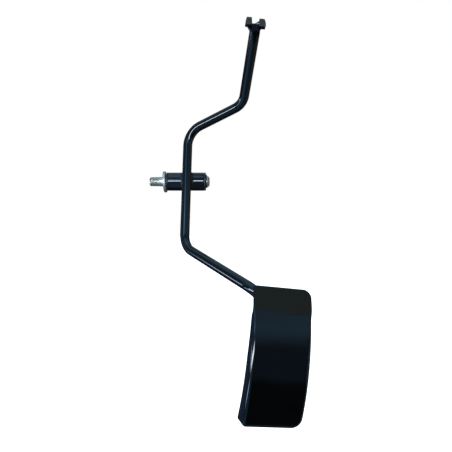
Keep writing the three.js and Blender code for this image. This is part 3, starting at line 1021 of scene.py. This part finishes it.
class Surround:
    """The studio as the object reflects it: walls, windows and strips of light.

    Directions are an azimuth (0 on the camera's side, 90 on the object's +X side, 180
    behind it) and an elevation, in degrees.
    """

    def __init__(self, colour):
        world = bpy.data.worlds.new("studio")
        bpy.context.scene.world = world
        world.use_nodes = True
        self.nodes = world.node_tree.nodes
        self.links = world.node_tree.links
        self.nodes.clear()
        self.direction = self.nodes.new("ShaderNodeTexCoord").outputs["Generated"]
        parts = self.nodes.new("ShaderNodeSeparateXYZ")
        self.links.new(self.direction, parts.inputs[0])
        behind = self.math("MULTIPLY", parts.outputs["Y"], -1)
        self.azimuth = self.math("ARCTAN2", parts.outputs["X"], behind)
        wobble = self.math("MULTIPLY", self.noise(5), math.radians(5))
        self.elevation = self.math("ADD", self.math("ARCSINE", parts.outputs["Z"]), wobble)
        self.total = self.nodes.new("ShaderNodeRGB").outputs[0]
        self.total.default_value = (*colour, 1)

    def math(self, operation, *values):
        node = self.nodes.new("ShaderNodeMath")
        node.operation = operation
        for socket, value in zip(node.inputs, values):
            if isinstance(value, bpy.types.NodeSocket):
                self.links.new(value, socket)
            else:
                socket.default_value = value
        return node.outputs[0]

    def noise(self, scale):
        """Noise between about -0.5 and 0.5 over the directions."""
        node = self.nodes.new("ShaderNodeTexNoise")
        self.links.new(self.direction, node.inputs["Vector"])
        node.inputs["Scale"].default_value = scale
        return self.math("SUBTRACT", node.outputs["Fac"], 0.5)

    def edge(self, value, outside, inside):
        """0 outside, 1 inside and soft between, for an angle in degrees."""
        node = self.nodes.new("ShaderNodeMapRange")
        node.interpolation_type = "SMOOTHSTEP"
        self.links.new(value, node.inputs["Value"])
        node.inputs["From Min"].default_value = math.radians(outside)
        node.inputs["From Max"].default_value = math.radians(inside)
        return node.outputs["Result"]

    def cover(self, colour, share):
        """Lays a colour over what is there so far."""
        mix = self.nodes.new("ShaderNodeMix")
        mix.data_type = "RGBA"
        self.links.new(share, mix.inputs["Factor"])
        self.links.new(self.total, mix.inputs["A"])
        mix.inputs["B"].default_value = (*colour, 1)
        self.total = mix.outputs["Result"]

    def limits(self, value, low, high, rise, fall):
        """Soft edges at two limits; None leaves that side open."""
        edges = []
        if low is not None:
            edges.append(self.edge(value, low - rise / 2, low + rise / 2))
        if high is not None:
            edges.append(self.edge(value, high + fall / 2, high - fall / 2))
        return edges

    def product(self, shares):
        """All the shares multiplied together."""
        total = shares[0]
        for share in shares[1:]:
            total = self.math("MULTIPLY", total, share)
        return total

    def window(self, colour, azimuths, elevations, soft=12, rise=12, fall=12):
        """Covers a range of directions with a colour; soft, rise and fall are edge widths."""
        across = self.limits(self.azimuth, *azimuths, soft, soft)
        up = self.limits(self.elevation, *elevations, rise, fall)
        self.cover(colour, self.product(across + up))

    def strip(self, colour, azimuths, tilt_azimuth, tilt, height):
        """A long thin light, level except for a tilt downwards towards one azimuth."""
        turn, lean = math.radians(tilt_azimuth), math.radians(tilt)
        axis = (math.sin(turn) * math.sin(lean), -math.cos(turn) * math.sin(lean),
                math.cos(lean))
        dot = self.nodes.new("ShaderNodeVectorMath")
        dot.operation = "DOT_PRODUCT"
        self.links.new(self.direction, dot.inputs[0])
        dot.inputs[1].default_value = axis
        away = self.math("ABSOLUTE", dot.outputs["Value"])
        across = self.edge(away, height * 0.7, height * 0.3)
        along = self.limits(self.azimuth, *azimuths, 8, 8)
        self.cover(colour, self.product([across, *along]))

    def show(self, background):
        """Plain background for the camera, the studio for everything else."""
        path = self.nodes.new("ShaderNodeLightPath")
        plain = self.nodes.new("ShaderNodeBackground")
        plain.inputs["Color"].default_value = (*background, 1)
        room = self.nodes.new("ShaderNodeBackground")
        self.links.new(self.total, room.inputs["Color"])
        mix = self.nodes.new("ShaderNodeMixShader")
        self.links.new(path.outputs["Is Camera Ray"], mix.inputs["Fac"])
        self.links.new(room.outputs[0], mix.inputs[1])
        self.links.new(plain.outputs[0], mix.inputs[2])
        output = self.nodes.new("ShaderNodeOutputWorld")
        self.links.new(mix.outputs[0], output.inputs["Surface"])


def add_surround():
    """The room that the paint mirrors; each call covers a part of those before it."""
    room = Surround((0.13, 0.18, 0.24))
    # Ceiling and the wall behind, with a bright opening in it
    room.window((0.34, 0.62, 0.92), (None, None), (48, None), rise=16)
    room.window((0.03, 0.05, 0.09), (None, -120), (None, 22))
    room.window((0.08, 0.08, 0.08), (126, None), (None, 32))
    room.window((0.60, 0.66, 0.72), (None, -168), (4, 44), soft=6, rise=6)
    room.window((0.60, 0.66, 0.72), (158, None), (4, 44), soft=6, rise=6)
    # Left-hand side
    room.window((0.09, 0.16, 0.26), (-125, -84), (18, 42))
    room.window((0.09, 0.25, 0.43), (-84, -50), (6, 26))
    room.window((0.25, 0.50, 0.79), (-84, -52), (27, 60))
    room.window((0.07, 0.13, 0.24), (-118, -35), (-32, -6))
    room.window((0.32, 0.60, 0.90), (-95, -48), (-64, -34), soft=20, rise=14, fall=14)
    # Above the camera, and a low band on the left
    room.window((0.13, 0.32, 0.55), (-55, 4), (10, 36))
    room.window((0.40, 0.80, 1.20), (-40, 12), (42, 66), soft=20, rise=10, fall=20)
    room.window((0.26, 0.47, 0.73), (-112, -82), (2, 15), rise=8, fall=8)
    # Floor on the camera's side
    room.window((0.17, 0.38, 0.64), (-38, -6), (-78, -4), soft=16)
    room.window((0.12, 0.20, 0.32), (-6, 16), (-78, -4))
    # Right-hand side
    room.window((0.18, 0.20, 0.20), (62, 126), (-58, 32), soft=20)
    room.window((0.10, 0.18, 0.30), (4, 62), (22, 40), soft=16)
    room.window((0.28, 0.35, 0.34), (25, 50), (24, 72), soft=8, rise=3, fall=20)
    room.window((0.20, 0.33, 0.46), (48, 84), (5, 18))
    room.window((0.23, 0.46, 0.70), (2, 50), (9, 24), soft=16, rise=14, fall=2)
    # Three steps of a sloping edge
    room.window((0.23, 0.41, 0.61), (22, 35.8), (21, 27.5), soft=2, rise=8, fall=2)
    room.window((0.23, 0.40, 0.58), (22, 34.0), (21, 30), soft=2, rise=8, fall=3)
    room.window((0.23, 0.40, 0.58), (22, 33.0), (21, 35), soft=2, rise=8, fall=4)
    # Low on the right, down to a dark floor
    room.window((0.070, 0.11, 0.17), (14, 66), (-22, 4), rise=8, fall=8)
    room.window((0.018, 0.024, 0.024), (18, 66), (-62, -20), rise=18, fall=7)
    # Windows and strips of light, and a last glow on the right
    room.window((1.6, 3.2, 5.4), (-30, -8), (16, 24), soft=12, rise=6, fall=8)
    room.window((0.7, 1.4, 2.4), (-36, -20), (20, 31), soft=8, rise=6, fall=6)
    room.strip((20, 22, 25), (-58, 9), -120, 8, 8)
    room.strip((9, 11, 14), (-103, -92), -120, 5, 6)
    room.strip((6, 9, 13), (-91, -58), -110, 20, 5)
    room.window((0.5, 0.75, 1.05), (58, 74), (-24, -3), soft=8, rise=10, fall=10)
    room.show((1, 1, 1))


def soft_light(name, azimuth, elevation, distance, width, height, power, colour):
    """A rectangular soft light that faces the object's middle."""
    middle = (cad_low + cad_high) / 2
    turn, rise = math.radians(azimuth), math.radians(elevation)
    towards = Vector((math.sin(turn) * math.cos(rise), -math.cos(turn) * math.cos(rise),
                      math.sin(rise)))
    data = bpy.data.lights.new(name, "AREA")
    data.shape = "RECTANGLE"
    data.size = width
    data.size_y = height
    data.energy = power
    data.color = colour
    light = bpy.data.objects.new(name, data)
    light.location = middle + towards * distance
    light.rotation_euler = (-towards).to_track_quat("-Z", "Y").to_euler()
    light.visible_camera = False
    bpy.context.scene.collection.objects.link(light)


def add_lights():
    soft_light("top", -20, 72, 1.6, 1.2, 0.9, 1.5, (0.55, 0.80, 1.0))
    soft_light("right", 80, 20, 1.8, 0.8, 1.4, 0.5, (1.0, 0.97, 0.92))


# ---- Assembly ----

add_camera()
add_floor()
add_surround()
add_lights()
pivot_pin()
mount_washer()
flanged_bush("left_bush_moulded", "left_bush", 1)
flanged_bush("right_bush_moulded", "right_bush", -1)
pivot_tube()
circlip()
lever_rod()
foot_pad()
cable_fork()
tube_bead("tube_weld_left_bead", "tube_weld_left", -1)
tube_bead("tube_weld_right_bead", "tube_weld_right", 1)
pad_bead("pad_weld_upper_bead", "pad_weld_upper", 1)
pad_bead("pad_weld_lower_bead", "pad_weld_lower", -1)
fork_bead()
bpy.context.scene.view_settings.view_transform = "Standard"
